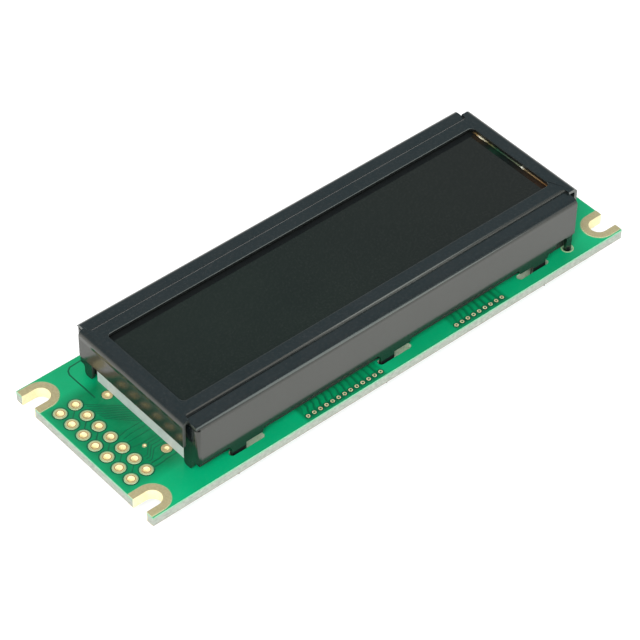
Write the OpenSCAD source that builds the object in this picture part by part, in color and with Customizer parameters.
// Character LCD module: a two-line display cell in a folded sheet-metal bezel,
// clipped over an LED backlight on a circuit board with a 2 x 7 header at one end.
// Millimetres. +X runs along the board away from the header, +Z is the viewing side.
// The origin is under the middle of the board, on the surface the module lies on.

/* [Circuit board] */
// Distance from the board's header end to the bezel
header_margin = 8.05; // [7.5:0.05:14]
// Distance from the bezel to the board's far end
far_margin = 6.15; // [5.3:0.05:10]
// Distance from the bezel's long skirts to the board's long edges
board_margin = 2; // [1.8:0.1:5]
// Thickness of the board
board_thickness = 1.6; // [1:0.1:2.4]
// Thickness of the plated copper, over the board and inside its holes
copper = 0.06; // [0.04:0.01:0.1]

/* [Mounting notches] */
// Distance from the board's long edges to the notches' centres
notch_edge = 2.75; // [2.65:0.05:4]
// Distance from the short edge to the round end's centre
notch_depth = 2; // [1.6:0.1:2.6]
// Clear width of a notch
notch_width = 2.8; // [2:0.1:3.2]
// Outer radius of the bare pad round a notch
notch_pad_radius = 2.5; // [2.2:0.05:2.6]

/* [Header] */
// Holes in each column
header_count = 7; // [4:1:8]
// Distance between hole centres
header_pitch = 2.54; // [2:0.01:2.54]
// Distance from the short edge to the first column
header_inset = 2; // [1.6:0.1:2.4]
// Bore of a plated hole
header_hole = 1; // [0.7:0.05:1.1]
// Diameter of a pad
header_pad = 1.9; // [1.5:0.05:2]

/* [Vias] */
// Vias in the longer row
long_row_count = 13; // [2:1:16]
// Vias in the shorter row
short_row_count = 9; // [2:1:11]
// Distance between vias
via_pitch = 1.07; // [0.9:0.01:1.2]
// Distance from the front edge to the rows
via_inset = 0.9; // [0.7:0.05:1]
// Place of the first via of the longer row, from the middle of the bezel
long_row_offset = -16.55; // [-18:0.05:-15]
// Place of the first via of the shorter row, from the middle of the bezel
short_row_offset = 10.25; // [9:0.05:12]
// Diameter of a via's pad
via_pad = 0.62; // [0.5:0.02:0.7]
// Bore of a via
via_hole = 0.3; // [0.2:0.02:0.36]

/* [Bezel] */
// Length over the short flanges
bezel_length = 70.8; // [69.5:0.1:73]
// Width over the long skirts
bezel_width = 25.5; // [25.3:0.1:26]
// Height of the top plate over the board
bezel_height = 9; // [8.2:0.1:11]
// Thickness of the sheet
sheet = 0.5; // [0.4:0.05:0.6]
// Outer radius of the top bends
bend_radius = 0.85; // [0.7:0.05:1]
// Outer radius of the two corner bends
corner_radius = 0.6; // [0.6:0.05:0.8]
// Width of a pressed ledge, its step included
ledge_width = 2.8; // [2.5:0.1:3.6]
// Drop from the top plate to the ledges
ledge_drop = 0.35; // [0.25:0.05:0.45]
// Distance from the ends of a short flange to the long skirts
flange_inset = 1.75; // [1.5:0.05:2.3]
// Height of the short flanges' lower edge over the board
flange_lift = 4.5; // [3.6:0.1:5.4]
// Height of the long skirts' lower edge over the board
skirt_lift = 1.75; // [1.4:0.05:2]
// Set-back of the long skirts from the flange at the header end
skirt_inset_left = 1; // [0.9:0.05:1.1]
// Set-back of the long skirts from the flange at the far end
skirt_inset_right = 1.6; // [1.4:0.05:2]

/* [Window] */
// Distance from the window to the bezel's short ends
window_end_margin = 2.5; // [2.3:0.05:6]
// Distance from the window to the pressed ledges
window_side_margin = 1.95; // [1.6:0.05:4]
// Corner radius of the window
window_radius = 0.7; // [0.3:0.1:1.5]

/* [Feet] */
// Distance from the skirts' far end to the last foot's middle
foot_setback = 7.75; // [7.3:0.05:10]
// Length of a board slot
slot_length = 5.8; // [5.2:0.1:6.4]
// Width of a board slot
slot_width = 1; // [0.9:0.05:1.2]
// Width of a twisted tab
tab_width = 2.4; // [1.8:0.1:2.6]
// Reach of a twisted tab under the board
tab_reach = 1.9; // [1.2:0.05:1.9]
// Angle that a tab is twisted through
tab_twist = 45; // [20:1:60]
// Height of a foot's shelf over the board
shelf_lift = 0.8; // [0.6:0.05:1.2]
// Width of a corner leg of the far end
leg_width = 1; // [0.8:0.05:1.1]
// Diameter of the board hole for a corner leg
leg_hole = 1.3; // [1.25:0.05:1.5]
// Width of a corner wing's leg at the header end
wing_leg = 1.6; // [1.2:0.1:1.8]

/* [Display cell] */
// Thickness of each glass
glass_thickness = 1.1; // [0.7:0.05:1.1]
// Gap between the glasses, held by the seal
cell_gap = 0.1; // [0.06:0.01:0.15]
// Width of the seal line
seal_width = 1; // [0.6:0.1:1.4]
// Thickness of the front polarizer
front_film = 0.2; // [0.1:0.05:0.3]
// Thickness of the rear polarizer
rear_film = 0.25; // [0.15:0.05:0.35]
// Clearance between the front glass's long edges and the bezel's top bends
front_glass_clearance = 0.05; // [0.05:0.05:0.3]
// Distance from the housing's short ends to the glasses' ends
glass_step = 0.15; // [0.1:0.05:0.25]
// Width of a connector strip
strip_width = 2.1; // [1.8:0.1:2.3]
// Distance from a connector strip to the front glass's long edge
strip_edge_margin = 0.05; // [0:0.05:0.3]
// Clearance between a connector strip and the rear glass
strip_clearance = 0.2; // [0.1:0.05:0.4]

/* [Backlight] */
// Clearance between the housing's short ends and the bezel's
housing_end_clearance = 1.45; // [1.3:0.05:1.9]
// Distance from the housing's long sides to the rear glass's long edges
housing_step = 0.2; // [0.1:0.05:0.5]
// Wall of the housing's light chamber
chamber_wall = 1.3; // [1.2:0.1:1.8]
// Wall round the diffuser and round the lamp board
rim_wall = 0.7; // [0.5:0.05:0.9]
// Thickness of the diffuser
diffuser_thickness = 0.3; // [0.2:0.05:0.5]
// Thickness of the lamp board
lamp_board_thickness = 0.8; // [0.6:0.1:1]
// Lamps along the housing
lamp_columns = 9; // [5:1:12]
// Distance between the two lamp rows
lamp_row_spacing = 8; // [6:0.5:9]
// Distance from the housing's long sides to the pins
pin_side_inset = 2.95; // [2.5:0.05:4]
// Distance from the housing's end to the pins
pin_inset = 1.9; // [1.8:0.1:3]
// Distance from the housing's end to the centres of the pads beside it
test_pad_setback = 0.6; // [0.45:0.05:0.7]
// Distance from the housing's end to the loose via
loose_via_setback = 2.5; // [2:0.05:2.7]
// Diameter of a backlight pin
pin_diameter = 0.5; // [0.4:0.05:0.6]

/* [Underside] */
// Height of the potting over the chips, which the module lies on
potting_height = 2; // [1.95:0.05:2.4]
// Radius of the controller's potting
controller_radius = 8.5; // [7.5:0.1:9]
// Radius of the driver's potting
driver_radius = 7.6; // [7:0.1:8]
// Share of the potting's radius that is flat
potting_flat = 0.55; // [0.4:0.05:0.65]
// Length of the controller chip
controller_chip = 4.6; // [3.5:0.1:5.5]
// Length of the driver chip
driver_chip = 3.8; // [3:0.1:4.5]
// Thickness of both chips
chip_thickness = 0.45; // [0.3:0.05:0.6]
// Length of a chip resistor
resistor_length = 2; // [1.6:0.1:2.2]
// Width of a chip resistor
resistor_width = 1.25; // [0.8:0.05:1.4]
// Height of a chip resistor
resistor_height = 0.5; // [0.35:0.05:0.6]
// Height of a chip capacitor
capacitor_height = 0.85; // [0.6:0.05:1.25]
// Distance between the resistors of the bias ladder
ladder_pitch = 2.6; // [2:0.1:3.2]

/* [Hidden] */
$fn = 64;
LADDER_COUNT = 5;
CAPACITOR_COUNT = 3;
LADDER_NODES = [for (i = [1 : LADDER_COUNT]) str("ladder_resistor_", i)];
CAPACITOR_NODES = [for (i = [1 : CAPACITOR_COUNT]) str("capacitor_", i)];

eps = 0.01;
over = 1; // how far a cutting shape passes the face it cuts

// Levels, counted from the surface that the module lies on
board_bottom = potting_height;
board_top = board_bottom + board_thickness;
plate_top = board_top + bezel_height;
plate_bottom = plate_top - sheet;
ledge_top = plate_top - ledge_drop;
ledge_bottom = ledge_top - sheet;
front_glass_bottom = ledge_bottom - glass_thickness;
rear_glass_top = front_glass_bottom - cell_gap;
rear_glass_bottom = rear_glass_top - glass_thickness;
housing_top = rear_glass_bottom - rear_film;
lamp_board_top = board_top + lamp_board_thickness;
diffuser_bottom = housing_top - diffuser_thickness;
skirt_bottom = board_top + skirt_lift;
shelf_bottom = board_top + shelf_lift;

// Places along the board
board_length = header_margin + bezel_length + far_margin;
board_width = bezel_width + 2 * board_margin;
notch_spacing = board_width - 2 * notch_edge;
board_left = -board_length / 2;
bezel_shift = (header_margin - far_margin) / 2;
bezel_left = bezel_shift - bezel_length / 2;
bezel_right = bezel_shift + bezel_length / 2;
skirt_left = bezel_left + skirt_inset_left;
skirt_right = bezel_right - skirt_inset_right;
skirt_outside = bezel_width / 2;
skirt_inside = skirt_outside - sheet;
plate_width = bezel_width - 2 * ledge_width;
flange_width = bezel_width - 2 * flange_inset;
window_length = bezel_length - 2 * window_end_margin;
window_width = plate_width - 2 * window_side_margin;

// The display cell fills the bezel, and the backlight stands under it
front_glass_width = 2 * (skirt_outside - bend_radius - front_glass_clearance);
rear_glass_width = front_glass_width - 2 * (strip_edge_margin + strip_width + strip_clearance);
housing_length = bezel_length - 2 * housing_end_clearance;
housing_width = rear_glass_width - 2 * housing_step;
housing_left = bezel_shift - housing_length / 2;
pin_spacing = housing_width - 2 * pin_side_inset;
glass_left = housing_left + glass_step;
glass_length = housing_length - 2 * glass_step;

// The bezel's bends and pressed ledges
inner_bend = bend_radius - sheet;
ledge_corner = 0.6;
ledge_end_gap = 0.1;
wing_relief = 0.25;
wing_top = plate_top - bend_radius - wing_relief;
wing_overlap = 1.2; // how far a wing reaches behind the short flange
wing_end = flange_width / 2 - wing_overlap;
wing_shoulder = wing_end + wing_leg;
wing_corner = 0.5;
wing_fillet = 0.45;
corner_overlap = 1; // how far the corner's outline runs along the skirt and the wing

// Feet: the first two tabs stand at the left of their slots, the last one at the right
foot_pitch = skirt_right - foot_setback - bezel_shift;
foot_places = [bezel_shift - foot_pitch, bezel_shift, bezel_shift + foot_pitch];
tab_offsets = [-1.4, -1.4, 1.05];
foot_clearance = 0.25; // between a foot's end and its slot's end
foot_half = slot_length / 2 - foot_clearance;
foot_shoulder = 0.9;
twist_steps = 6;
tab_lap = 0.1; // length of the tab that stays straight below the board
first_turn = 8; // angle that the twist has at the board's lower face
slot_line = skirt_outside - sheet / 2;
leg_inset = 0.95;
leg_place = skirt_right - leg_inset;
leg_reach = 0.8;
leg_shoulder = 0.35;
relief_width = 3.6;
relief_lift = 0.75;

// Header, notches and backlight pads
header_left = board_left + header_inset;
header_rows = [for (i = [0 : header_count - 1]) (i - (header_count - 1) / 2) * header_pitch];
notch_place = board_length / 2 - notch_depth;
sleeve_wall = 0.1;
via_line = -board_width / 2 + via_inset;
pin_place = housing_left + pin_inset;
long_row_start = bezel_shift + long_row_offset;
short_row_start = bezel_shift + short_row_offset;
test_pad_place = housing_left - test_pad_setback; // the pads run half under the housing's end
test_pad = 1.5;
test_hole = 0.7;
loose_via_place = [housing_left - loose_via_setback, -4.1];

// Display cell and backlight
film_margin = 0.4; // between a polarizer and its glass's edges
film_clearance = 0.05;
strip_end_margin = 0.4;
lamp_size = [1.6, 0.8, 0.6];
lamp_end_margin = 4; // between the pins and the first lamps
lamp_span = housing_length - 2 * (pin_inset + lamp_end_margin);
pin_clearance = 0.05;
pin_tip = 0.3;
pin_head = 1;
pin_head_height = 0.3;

// Underside
controller_place = [-9, -1.5];
driver_place = [15.5, -1.5];
ladder_setback = 13.5;
ladder_place = [-board_left - ladder_setback, 0];
oscillator_place = [-21.5, 5.2];
backlight_resistor_places = [[-26.5, 3.4], [-26.5, -3.4]];
capacitor_places = [[-21.5, -6], [3.3, 7.6], [3.3, -8.6]];
chip_shape = 0.85; // width of a chip, as a share of its length
end_cap = 0.4;
end_cap_skin = 0.05;
solder_radius = 0.9;
solder_height = 0.7;
solder_waist_radius = 0.54;
solder_waist_height = 0.32;

// ---------------------------------------------------------------- shared shapes

// A rectangle with round corners, centred on the origin
module round_rectangle(length, width, radius) {
    square([length - 2 * radius, width], center = true);
    square([length, width - 2 * radius], center = true);
    for (sx = [-1, 1], sy = [-1, 1])
        translate([sx * (length / 2 - radius), sy * (width / 2 - radius)])
            circle(radius);
}

// A slot along X with round ends
module slot_outline(length, width) {
    square([length - width, width], center = true);
    for (side = [-1, 1])
        translate([side * (length - width) / 2, 0])
            circle(d = width);
}

// A quarter of a disc, with its centre at the origin, in the +X +Y quarter
module quarter_disc(radius) {
    intersection() {
        circle(radius);
        square(radius + over);
    }
}

// A quarter of a sheet bend, placed as the quarter disc is
module bend_outline(outer, inner) {
    difference() {
        quarter_disc(outer);
        circle(inner);
    }
}

// The corner that a fillet fills, between the +X and +Y axes
module fillet_outline(radius) {
    difference() {
        square(radius);
        translate([radius, radius])
            circle(radius);
    }
}

// A slab, stated by its lowest and highest corners
module slab(low, high) {
    translate(low)
        cube(high - low);
}

// Stands an outline drawn in X and Z upright, with its thickness along +Y
module stand_along_x(y, thickness) {
    translate([0, y + thickness, 0])
        rotate([90, 0, 0])
            linear_extrude(thickness)
                children();
}

// Stands an outline drawn in Y and Z upright, with its thickness along +X
module stand_along_y(x, thickness) {
    translate([x, 0, 0])
        rotate([90, 0, 90])
            linear_extrude(thickness)
                children();
}

// ---------------------------------------------------------------- circuit board

// A plated hole's sleeve with a pad on each face of the board
module plated_sleeve(pad, hole) {
    translate([0, 0, board_bottom - copper])
        difference() {
            union() {
                cylinder(h = copper, d = pad);
                cylinder(h = board_thickness + 2 * copper, d = hole + 2 * sleeve_wall);
                translate([0, 0, board_thickness + copper])
                    cylinder(h = copper, d = pad);
            }
            translate([0, 0, -over])
                cylinder(h = board_thickness + 2 * copper + 2 * over, d = hole);
        }
}

// The board's own hole round such a sleeve
module sleeve_hole(hole) {
    translate([0, 0, board_bottom - over])
        cylinder(h = board_thickness + 2 * over, d = hole + 2 * sleeve_wall);
}

module at_header_holes() {
    for (column = [0, 1], y = header_rows)
        translate([header_left + column * header_pitch, y, 0])
            children();
}

module at_vias(start, count) {
    for (i = [0 : count - 1])
        translate([start + i * via_pitch, via_line, 0])
            children();
}

module at_backlight_pads() {
    for (side = [-1, 1])
        translate([test_pad_place, side * pin_spacing / 2, 0])
            children();
}

module at_backlight_pins() {
    for (side = [-1, 1])
        translate([pin_place, side * pin_spacing / 2, 0])
            children();
}

// A notch open to +X, with its round end's centre at the origin
module notch_outline(width) {
    circle(d = width);
    translate([0, -width / 2])
        square([notch_depth + over, width]);
}

module at_notch(index) {
    side_x = index < 2 ? 1 : -1;
    side_y = index % 2 == 0 ? 1 : -1;
    translate([side_x * notch_place, side_y * notch_spacing / 2, 0])
        mirror([side_x < 0 ? 1 : 0, 0, 0])
            children();
}

module circuit_board() {
    color("mediumseagreen")
        difference() {
            slab([board_left, -board_width / 2, board_bottom],
                 [-board_left, board_width / 2, board_top]);
            for (index = [0 : 3])
                at_notch(index)
                    translate([0, 0, board_bottom - over])
                        linear_extrude(board_thickness + 2 * over)
                            notch_outline(notch_width + 2 * sleeve_wall);
            at_header_holes()
                sleeve_hole(header_hole);
            at_vias(long_row_start, long_row_count)
                sleeve_hole(via_hole);
            at_vias(short_row_start, short_row_count)
                sleeve_hole(via_hole);
            at_backlight_pads()
                sleeve_hole(test_hole);
            translate(loose_via_place)
                sleeve_hole(via_hole);
            at_backlight_pins()
                translate([0, 0, board_bottom - over])
                    cylinder(h = board_thickness + 2 * over, d = pin_diameter + 2 * pin_clearance);
            for (side = [-1, 1]) {
                for (x = foot_places)
                    translate([x, side * slot_line, board_bottom - over])
                        linear_extrude(board_thickness + 2 * over)
                            slot_outline(slot_length, slot_width);
                translate([leg_place, side * slot_line, board_bottom - over])
                    cylinder(h = board_thickness + 2 * over, d = leg_hole);
            }
        }
}

module header_pads() {
    color("gold")
        at_header_holes()
            plated_sleeve(header_pad, header_hole);
}

module via_row(start, count) {
    color("goldenrod")
        at_vias(start, count)
            plated_sleeve(via_pad, via_hole);
}

module backlight_pads() {
    color("gold") {
        at_backlight_pads()
            difference() {
                plated_sleeve(test_pad, test_hole);
                slab([housing_left - test_pad_place, -test_pad, board_top],
                     [test_pad, test_pad, board_top + test_pad]);
            }
        translate(loose_via_place)
            plated_sleeve(via_pad, via_hole);
    }
}

// The bare plated pad that lines a mounting notch and rings it on both faces
module notch_pad(index) {
    edge = board_width / 2 - notch_spacing / 2;
    color("burlywood")
        at_notch(index)
            difference() {
                union() {
                    translate([0, 0, board_bottom])
                        linear_extrude(board_thickness)
                            notch_outline(notch_width + 2 * sleeve_wall);
                    for (z = [board_bottom - copper, board_top])
                        translate([0, 0, z])
                            linear_extrude(copper)
                                notch_outline(2 * notch_pad_radius);
                }
                translate([0, 0, board_bottom - over])
                    linear_extrude(board_thickness + 2 * over)
                        notch_outline(notch_width);
                slab([notch_depth, -board_width, 0],
                     [notch_depth + 2 * over, board_width, board_top + over]);
                for (side = [-1, 1])
                    mirror([0, side < 0 ? 1 : 0, 0])
                        slab([-board_width, edge, 0],
                             [board_width, board_width, board_top + over]);
            }
}

// ---------------------------------------------------------------- bezel

// Half of the section across the bezel, for +Y, from the middle out to a skirt's lower edge.
// The sheet steps down from the plate to the ledge, then turns down into the skirt.
module half_section() {
    bend_y = skirt_outside - bend_radius;
    bend_z = ledge_top - bend_radius;
    step_start = plate_width / 2;
    step_end = step_start + ledge_drop;
    translate([0, plate_bottom])
        square([step_start, sheet]);
    // the pressed step is as wide as it is deep, and the outsides of its two bends are round
    translate([step_start, plate_bottom])
        square([ledge_drop, ledge_top - plate_bottom]);
    translate([step_start, ledge_top])
        quarter_disc(ledge_drop);
    translate([step_end, plate_bottom])
        rotate(180)
            quarter_disc(ledge_drop);
    translate([step_end, ledge_bottom])
        square([bend_y - step_end, sheet]);
    translate([bend_y, bend_z])
        bend_outline(bend_radius, inner_bend);
    translate([skirt_inside, skirt_bottom])
        square([sheet, bend_z - skirt_bottom]);
}

// The section along the bezel, through its two short flanges
module flange_section() {
    bend_z = plate_top - bend_radius;
    flange_bottom = board_top + flange_lift;
    translate([bezel_left + bend_radius, plate_bottom])
        square([bezel_length - 2 * bend_radius, sheet]);
    for (side = [0, 1])
        translate([bezel_shift, 0])
            mirror([side, 0]) {
                translate([bezel_length / 2 - bend_radius, bend_z])
                    bend_outline(bend_radius, inner_bend);
                translate([bezel_length / 2 - sheet, flange_bottom])
                    square([sheet, bend_z - flange_bottom]);
            }
}

// What the pressed ledges take from the plate, seen from above
module ledge_outline() {
    left = skirt_left + ledge_end_gap;
    right = skirt_right - ledge_end_gap;
    for (side = [0, 1])
        mirror([0, side]) {
            translate([left + ledge_corner, plate_width / 2])
                square([right - left - 2 * ledge_corner, bezel_width]);
            translate([left, plate_width / 2 + ledge_corner])
                square([right - left, bezel_width]);
            for (x = [left + ledge_corner, right - ledge_corner])
                translate([x, plate_width / 2 + ledge_corner])
                    circle(ledge_corner);
        }
}

// A shelf of a long skirt, over a slot of the board
module skirt_foot(x) {
    translate([x - foot_half, shelf_bottom])
        square([2 * foot_half, skirt_bottom - shelf_bottom + over]);
    for (turn = [0, 1])
        translate([x, skirt_bottom])
            mirror([turn, 0])
                translate([foot_half, 0])
                    mirror([0, 1])
                        fillet_outline(min(foot_shoulder, skirt_bottom - shelf_bottom));
}

// The straight leg of a long skirt, in a round hole at the board's far end
module skirt_leg() {
    leg_top = skirt_bottom + relief_lift;
    translate([leg_place - leg_width / 2, board_bottom - leg_reach])
        square([leg_width, leg_top - board_bottom + leg_reach + over]);
    for (turn = [0, 1])
        translate([leg_place, leg_top])
            mirror([turn, 0])
                translate([leg_width / 2, 0])
                    mirror([0, 1])
                        fillet_outline(leg_shoulder);
}

// The long skirt's relief round the far leg
module skirt_relief() {
    translate([skirt_right - relief_width, skirt_bottom - over])
        square([relief_width + over, relief_lift + over]);
}

// A tab goes down from its foot through the slot and a little past the board. Under the board
// its end is twisted, so that the edge nearest the slot's end turns outward and bears on the
// board's lower face.
module tab(tab_x, right) {
    translate([tab_x, slot_line, board_bottom - tab_reach]) {
        mirror([right ? 1 : 0, 0, 0])
            rotate(-tab_twist)
                linear_extrude(tab_reach, twist = first_turn - tab_twist, slices = twist_steps,
                               segments = 4)
                    square([tab_width, sheet], center = true);
        translate([0, 0, tab_reach - tab_lap])
            linear_extrude(skirt_bottom - board_bottom + tab_lap)
                square([tab_width, sheet], center = true);
    }
}

// A corner of the header end, seen from above: the bend between a long skirt and its wing,
// with a short length of the sheet on both sides of it
module corner_outline() {
    mirror([1, 0])
        bend_outline(corner_radius, corner_radius - sheet);
    translate([0, corner_radius - sheet])
        square([corner_overlap, sheet]);
    translate([-corner_radius, -corner_overlap])
        square([sheet, corner_overlap]);
}

// A corner wing of the header end, drawn in Y and Z: it folds round from the long skirt
// and stands on the board on a short leg
module wing_outline() {
    root = skirt_outside - corner_radius;
    translate([wing_end, skirt_bottom])
        square([root - wing_end, wing_top - skirt_bottom]);
    translate([wing_end, board_top + wing_corner])
        square([wing_leg, skirt_bottom - board_top]);
    translate([wing_end + wing_corner, board_top])
        square([wing_leg - 2 * wing_corner, skirt_bottom - board_top]);
    for (y = [wing_end + wing_corner, wing_shoulder - wing_corner])
        translate([y, board_top + wing_corner])
            circle(wing_corner);
    translate([wing_shoulder, skirt_bottom])
        mirror([0, 1])
            fillet_outline(wing_fillet);
}

module long_side() {
    difference() {
        union() {
            difference() {
                stand_along_y(skirt_left, skirt_right - skirt_left)
                    half_section();
                stand_along_x(skirt_inside - over, sheet + 2 * over)
                    skirt_relief();
            }
            stand_along_x(skirt_inside, sheet) {
                for (x = foot_places)
                    skirt_foot(x);
                skirt_leg();
            }
        }
        // below the wing's top, the skirt ends where its corner bend begins
        slab([skirt_left - over, 0, 0],
             [skirt_left + corner_radius, bezel_width, wing_top]);
        // the relief above the wing
        slab([skirt_left - over, skirt_outside - bend_radius, wing_top - eps],
             [skirt_left + corner_radius, bezel_width, wing_top + wing_relief]);
    }
    for (i = [0 : len(foot_places) - 1])
        tab(foot_places[i] + tab_offsets[i], tab_offsets[i] > 0);
    translate([skirt_left + corner_radius, skirt_outside - corner_radius, skirt_bottom])
        linear_extrude(wing_top - skirt_bottom)
            corner_outline();
    stand_along_y(skirt_left, sheet)
        wing_outline();
}

module bezel() {
    color("darkslategray")
        difference() {
            union() {
                for (side = [0, 1])
                    mirror([0, side, 0])
                        long_side();
                difference() {
                    stand_along_x(-flange_width / 2, flange_width)
                        flange_section();
                    translate([0, 0, ledge_bottom])
                        linear_extrude(plate_top)
                            ledge_outline();
                }
            }
            translate([bezel_shift, 0, ledge_bottom - over])
                linear_extrude(ledge_drop + sheet + 2 * over)
                    round_rectangle(window_length, window_width, window_radius);
        }
}

// ---------------------------------------------------------------- display cell

// A flat layer of the display, centred on the bezel
module layer(bottom, length, width, thickness) {
    translate([bezel_shift - length / 2, -width / 2, bottom])
        cube([length, width, thickness]);
}

module front_polarizer() {
    color("darkslategray")
        layer(ledge_bottom, glass_length - 2 * film_margin, plate_width - 2 * film_margin,
              front_film);
}

module front_glass() {
    color("darkseagreen")
        layer(front_glass_bottom, glass_length, front_glass_width, glass_thickness);
}

module cell_seal() {
    color("dimgray")
        difference() {
            layer(rear_glass_top, glass_length, rear_glass_width, cell_gap);
            layer(rear_glass_top - over, glass_length - 2 * seal_width,
                  rear_glass_width - 2 * seal_width, cell_gap + 2 * over);
        }
}

module liquid_crystal() {
    color("olivedrab")
        layer(rear_glass_top, glass_length - 2 * seal_width, rear_glass_width - 2 * seal_width,
              cell_gap);
}

module rear_glass() {
    color("darkseagreen")
        layer(rear_glass_bottom, glass_length, rear_glass_width, glass_thickness);
}

module rear_polarizer() {
    color("gray")
        layer(housing_top, glass_length - 2 * film_margin, rear_glass_width - 2 * film_margin,
              rear_film);
}

// A striped elastomer connector, squeezed between the board and the front glass
module connector_strip(side) {
    inner = rear_glass_width / 2 + strip_clearance;
    color("lightpink")
        mirror([0, side < 0 ? 1 : 0, 0])
            slab([glass_left + strip_end_margin, inner, board_top],
                 [glass_left + glass_length - strip_end_margin, inner + strip_width,
                  front_glass_bottom]);
}

// ---------------------------------------------------------------- backlight

module housing_layer(bottom, inset, height) {
    translate([housing_left + inset, -housing_width / 2 + inset, bottom])
        cube([housing_length - 2 * inset, housing_width - 2 * inset, height]);
}

module backlight_housing() {
    color("whitesmoke")
        difference() {
            housing_layer(board_top, 0, housing_top - board_top);
            housing_layer(board_top - over, chamber_wall, housing_top - board_top + 2 * over);
            housing_layer(board_top - over, rim_wall, lamp_board_thickness + over);
            housing_layer(diffuser_bottom, rim_wall, diffuser_thickness + over);
        }
}

module diffuser() {
    color("white")
        housing_layer(diffuser_bottom, rim_wall + film_clearance, diffuser_thickness);
}

module lamp_board() {
    color("beige")
        difference() {
            housing_layer(board_top, rim_wall + film_clearance, lamp_board_thickness);
            at_backlight_pins()
                translate([0, 0, board_top - over])
                    cylinder(h = lamp_board_thickness + 2 * over,
                             d = pin_diameter + 2 * pin_clearance);
        }
}

module lamps() {
    color("lightyellow")
        for (column = [0 : lamp_columns - 1], side = [-1, 1])
            translate([bezel_shift + (column / (lamp_columns - 1) - 0.5) * lamp_span,
                       side * lamp_row_spacing / 2,
                       lamp_board_top + lamp_size.z / 2])
                cube(lamp_size, center = true);
}

// A backlight pin runs from a head on the lamp board down through both boards
module backlight_pin(side) {
    color("silver")
        translate([pin_place, side * pin_spacing / 2, 0]) {
            translate([0, 0, board_bottom - solder_height - pin_tip])
                cylinder(h = lamp_board_top - board_bottom + solder_height + pin_tip,
                         d = pin_diameter);
            translate([0, 0, lamp_board_top])
                cylinder(h = pin_head_height, d = pin_head);
        }
}

// A solder cone round a pin, under the board
module solder_joint(side) {
    color("lightgray")
        translate([pin_place, side * pin_spacing / 2, 0])
            rotate_extrude()
                polygon([[pin_diameter / 2, board_bottom],
                         [solder_radius, board_bottom],
                         [solder_waist_radius, board_bottom - solder_waist_height],
                         [pin_diameter / 2, board_bottom - solder_height]]);
}

// ---------------------------------------------------------------- underside

// A bare chip bonded under the board
module bare_chip(place, length) {
    color("slategray")
        translate([place.x - length / 2, place.y - length * chip_shape / 2,
                   board_bottom - chip_thickness])
            cube([length, length * chip_shape, chip_thickness]);
}

// The black potting over a chip: a shallow dome with a flat crown
module potting(place, radius, chip_length) {
    crown = radius * potting_flat;
    depth = (pow(radius, 2) - pow(crown, 2) - pow(potting_height, 2)) / (2 * potting_height);
    dome = sqrt(pow(radius, 2) + pow(depth, 2));
    color("black")
        difference() {
            intersection() {
                translate([place.x, place.y, board_bottom + depth])
                    sphere(dome);
                slab([place.x - radius - over, place.y - radius - over, 0],
                     [place.x + radius + over, place.y + radius + over, board_bottom]);
            }
            bare_chip(place, chip_length);
        }
}

// A surface-mounted chip part with two end caps, lying under the board
module chip_part(length, width, height) {
    translate([-length / 2 + end_cap_skin, -width / 2 + end_cap_skin,
               board_bottom - height + end_cap_skin])
        cube([length - 2 * end_cap_skin, width - 2 * end_cap_skin, height - end_cap_skin]);
    for (side = [-1, 1])
        translate([side * (length - end_cap) / 2, 0, board_bottom - height / 2])
            cube([end_cap, width, height], center = true);
}

module resistor(place, turn) {
    color("dimgray")
        translate(place)
            rotate(turn)
                chip_part(resistor_length, resistor_width, resistor_height);
}

module capacitor(place) {
    color("tan")
        translate(place)
            rotate(90)
                chip_part(resistor_length, resistor_width, capacitor_height);
}

module ladder_resistor(index) {
    offset_y = (index - (LADDER_COUNT + 1) / 2) * ladder_pitch;
    resistor([ladder_place.x, ladder_place.y + offset_y], 0);
}

// ---------------------------------------------------------------- nodes

circuit_board();
header_pads();
via_row(long_row_start, long_row_count);  // via_row_long
via_row(short_row_start, short_row_count);  // via_row_short
backlight_pads();
for (index = [1 : 4])
    notch_pad(index - 1);
bezel();
front_polarizer();
front_glass();
cell_seal();
liquid_crystal();
rear_glass();
rear_polarizer();
connector_strip(-1);  // connector_strip_front
connector_strip(1);  // connector_strip_rear
backlight_housing();
diffuser();
lamp_board();
lamps();
backlight_pin(-1);  // backlight_pin_1
backlight_pin(1);  // backlight_pin_2
solder_joint(-1);  // solder_joint_1
solder_joint(1);  // solder_joint_2
bare_chip(controller_place, controller_chip);
bare_chip(driver_place, driver_chip);
potting(controller_place, controller_radius, controller_chip);  // controller_potting
potting(driver_place, driver_radius, driver_chip);  // driver_potting
resistor(oscillator_place, 90);  // oscillator_resistor
resistor(backlight_resistor_places[0], 0);  // backlight_resistor_1
resistor(backlight_resistor_places[1], 0);  // backlight_resistor_2
for (index = [1 : LADDER_COUNT])
    ladder_resistor(index);
for (index = [1 : CAPACITOR_COUNT])
    capacitor(capacitor_places[index - 1]);
